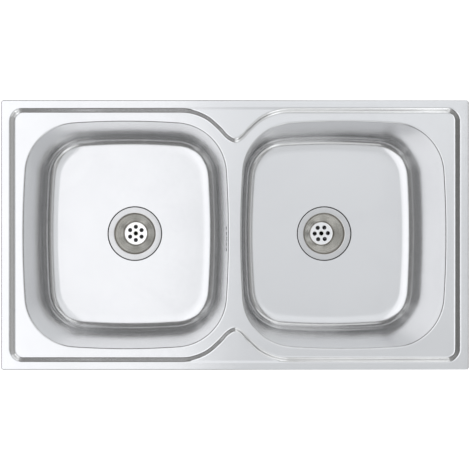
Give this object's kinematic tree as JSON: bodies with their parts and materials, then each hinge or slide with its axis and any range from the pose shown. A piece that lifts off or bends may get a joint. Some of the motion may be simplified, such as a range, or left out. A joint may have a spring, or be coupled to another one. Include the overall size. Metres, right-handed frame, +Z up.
{
  "type": "double bowl kitchen sink",
  "caption": "Inset stainless steel kitchen sink with two equal drawn bowls, a stepped rim, strainer wastes, an overflow and swing clamps under the rim.",
  "frame": {"origin": "centre of the worktop cut-out, on the worktop's surface, where the rim's seal rests", "axes": "+X to the right as seen by someone at the sink, +Y to the back, +Z up"},
  "size_m": [0.78, 0.45, 0.2299],
  "materials": {
    "satin_steel": "satin pressed stainless steel with a fine linen-like grain",
    "brushed_cup_steel": "turned and brushed stainless steel",
    "screw_steel": "plain stainless steel",
    "zinc_steel": "bright zinc-plated steel",
    "brass": "bare brass",
    "white_plastic": "moulded polypropylene",
    "black_plastic": "moulded polypropylene, black",
    "bitumen": "matt bitumen damping pad",
    "foam_seal": "closed-cell foam strip",
    "black_rubber": "moulded rubber"
  },
  "bodies": {
    "sink": {"deck": "satin_steel", "bowl_left": "satin_steel", "sound_pad_left": "bitumen", "strainer_cup_left": "brushed_cup_steel", "floor_gasket_left": "black_rubber", "waste_washer_left": "black_rubber", "waste_body_left": "black_plastic", "centre_insert_left": "brass", "centre_screw_left": "screw_steel", "bowl_right": "satin_steel", "sound_pad_right": "bitumen", "strainer_cup_right": "brushed_cup_steel", "floor_gasket_right": "black_rubber", "waste_washer_right": "black_rubber", "waste_body_right": "black_plastic", "centre_insert_right": "brass", "centre_screw_right": "screw_steel", "edge_seal": "foam_seal", "clamp_studs": "zinc_steel", "overflow_gasket": "black_rubber", "overflow_head": "black_plastic", "overflow_screw": "screw_steel", "overflow_pipe": "white_plastic", "union_ring_head": "black_rubber", "union_nut_head": "white_plastic", "union_ring_body": "black_rubber", "union_nut_body": "white_plastic"},
    "nut_1": {"clamp_nut_1": "zinc_steel"},
    "claw_1": {"clamp_claw_1": "zinc_steel"},
    "nut_2": {"clamp_nut_2": "zinc_steel"},
    "claw_2": {"clamp_claw_2": "zinc_steel"},
    "nut_3": {"clamp_nut_3": "zinc_steel"},
    "claw_3": {"clamp_claw_3": "zinc_steel"},
    "nut_4": {"clamp_nut_4": "zinc_steel"},
    "claw_4": {"clamp_claw_4": "zinc_steel"},
    "nut_5": {"clamp_nut_5": "zinc_steel"},
    "claw_5": {"clamp_claw_5": "zinc_steel"},
    "nut_6": {"clamp_nut_6": "zinc_steel"},
    "claw_6": {"clamp_claw_6": "zinc_steel"},
    "nut_7": {"clamp_nut_7": "zinc_steel"},
    "claw_7": {"clamp_claw_7": "zinc_steel"},
    "nut_8": {"clamp_nut_8": "zinc_steel"},
    "claw_8": {"clamp_claw_8": "zinc_steel"}
  },
  "joints": [
    {"name": "nut_1_rise", "type": "slide", "parent": "sink", "child": "nut_1", "axis": [0, 0, 1], "range_m": [0, 0.016]},
    {"name": "claw_1_swing", "type": "hinge", "parent": "nut_1", "child": "claw_1", "pos_m": [-0.3118, 0.1935, -0.054], "axis": [0, 0, 1], "range_deg": [0, 90]},
    {"name": "nut_2_rise", "type": "slide", "parent": "sink", "child": "nut_2", "axis": [0, 0, 1], "range_m": [0, 0.016]},
    {"name": "claw_2_swing", "type": "hinge", "parent": "nut_2", "child": "claw_2", "pos_m": [0, 0.1935, -0.054], "axis": [0, 0, 1], "range_deg": [0, 90]},
    {"name": "nut_3_rise", "type": "slide", "parent": "sink", "child": "nut_3", "axis": [0, 0, 1], "range_m": [0, 0.016]},
    {"name": "claw_3_swing", "type": "hinge", "parent": "nut_3", "child": "claw_3", "pos_m": [0.3118, 0.1935, -0.054], "axis": [0, 0, 1], "range_deg": [0, 90]},
    {"name": "nut_4_rise", "type": "slide", "parent": "sink", "child": "nut_4", "axis": [0, 0, 1], "range_m": [0, 0.016]},
    {"name": "claw_4_swing", "type": "hinge", "parent": "nut_4", "child": "claw_4", "pos_m": [0.3622, 0, -0.054], "axis": [0, 0, 1], "range_deg": [0, 90]},
    {"name": "nut_5_rise", "type": "slide", "parent": "sink", "child": "nut_5", "axis": [0, 0, 1], "range_m": [0, 0.016]},
    {"name": "claw_5_swing", "type": "hinge", "parent": "nut_5", "child": "claw_5", "pos_m": [0.3118, -0.1935, -0.054], "axis": [0, 0, 1], "range_deg": [0, 90]},
    {"name": "nut_6_rise", "type": "slide", "parent": "sink", "child": "nut_6", "axis": [0, 0, 1], "range_m": [0, 0.016]},
    {"name": "claw_6_swing", "type": "hinge", "parent": "nut_6", "child": "claw_6", "pos_m": [0, -0.1935, -0.054], "axis": [0, 0, 1], "range_deg": [0, 90]},
    {"name": "nut_7_rise", "type": "slide", "parent": "sink", "child": "nut_7", "axis": [0, 0, 1], "range_m": [0, 0.016]},
    {"name": "claw_7_swing", "type": "hinge", "parent": "nut_7", "child": "claw_7", "pos_m": [-0.3118, -0.1935, -0.054], "axis": [0, 0, 1], "range_deg": [0, 90]},
    {"name": "nut_8_rise", "type": "slide", "parent": "sink", "child": "nut_8", "axis": [0, 0, 1], "range_m": [0, 0.016]},
    {"name": "claw_8_swing", "type": "hinge", "parent": "nut_8", "child": "claw_8", "pos_m": [-0.3622, 0, -0.054], "axis": [0, 0, 1], "range_deg": [0, 90]}
  ]
}
